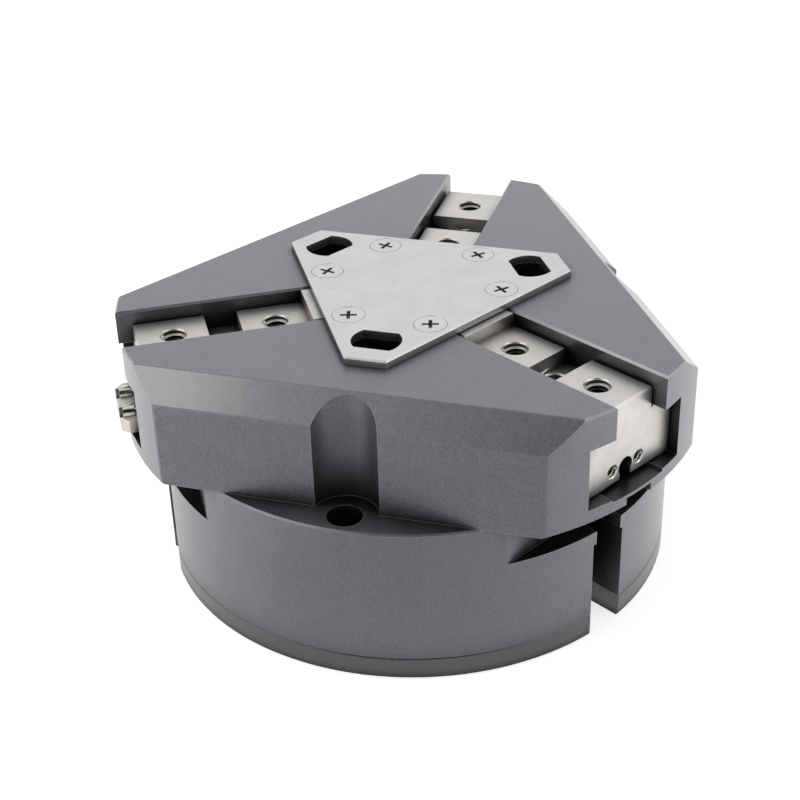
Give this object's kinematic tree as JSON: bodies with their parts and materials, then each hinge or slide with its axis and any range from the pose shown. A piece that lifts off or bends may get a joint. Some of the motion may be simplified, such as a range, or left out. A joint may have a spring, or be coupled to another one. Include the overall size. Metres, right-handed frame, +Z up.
{
  "type": "three jaw centric gripper",
  "caption": "Pneumatic gripper with a round base, a winged upper body and radially guided T-jaws that a wedge hook moves together towards and away from its axis.",
  "frame": {"origin": "on the gripper's axis, in its mounting face", "axes": "+Z runs up the axis, from the mounting face to the cover plate; the jaws point to -30, 90 and 210 degrees from +X, and the wing in front points to -Y"},
  "size_m": [0.1442, 0.138, 0.0715],
  "materials": {
    "body_anodised": "hard anodised, matt grey with fine milling marks",
    "plate_aluminium": "brushed bright",
    "plate_screw_steel": "plain zinc-bright steel",
    "screw_steel": "plain steel",
    "hook_steel": "ground, hardened",
    "piston_aluminium": "turned",
    "jaw_steel": "hardened and ground, satin",
    "cam_steel": "plain milled steel",
    "bush_bronze": "turned bronze",
    "guide_polymer": "filled polymer",
    "seal_rubber": "matt black nitrile"
  },
  "bodies": {
    "body": {"housing": "body_anodised", "base_cover": "body_anodised", "cover_plate": "plate_aluminium", "cover_plate_screws": "plate_screw_steel", "base_cover_screws": "screw_steel", "base_cover_pins": "screw_steel", "base_cover_seal": "seal_rubber", "bumper_ring": "seal_rubber", "rod_bush": "bush_bronze", "rod_seal": "seal_rubber", "seal_retainer": "screw_steel"},
    "drive": {"wedge_hook": "hook_steel", "piston": "piston_aluminium", "piston_seal": "seal_rubber", "piston_guide_ring": "guide_polymer", "piston_bolt": "screw_steel", "piston_o_ring": "seal_rubber"},
    "right_jaw": {"jaw_right": "jaw_steel"},
    "back_jaw": {"jaw_back": "jaw_steel"},
    "left_jaw": {"jaw_left": "jaw_steel", "switch_cam": "cam_steel", "switch_cam_screws": "screw_steel"}
  },
  "joints": [
    {"name": "piston_slide", "type": "slide", "parent": "body", "child": "drive", "axis": [0, 0, 1], "range_m": [0, 0.015]},
    {"name": "right_jaw_slide", "type": "slide", "parent": "body", "child": "right_jaw", "axis": [0.866, -0.5, 0], "range_m": [0, 0.01]},
    {"name": "back_jaw_slide", "type": "slide", "parent": "body", "child": "back_jaw", "axis": [0, 1, 0], "range_m": [0, 0.01]},
    {"name": "left_jaw_slide", "type": "slide", "parent": "body", "child": "left_jaw", "axis": [-0.866, -0.5, 0], "range_m": [0, 0.01]}
  ],
  "couplings": [
    {"joint": "right_jaw_slide", "follows": "piston_slide", "ratio": 0.6667},
    {"joint": "back_jaw_slide", "follows": "piston_slide", "ratio": 0.6667},
    {"joint": "left_jaw_slide", "follows": "piston_slide", "ratio": 0.6667}
  ]
}
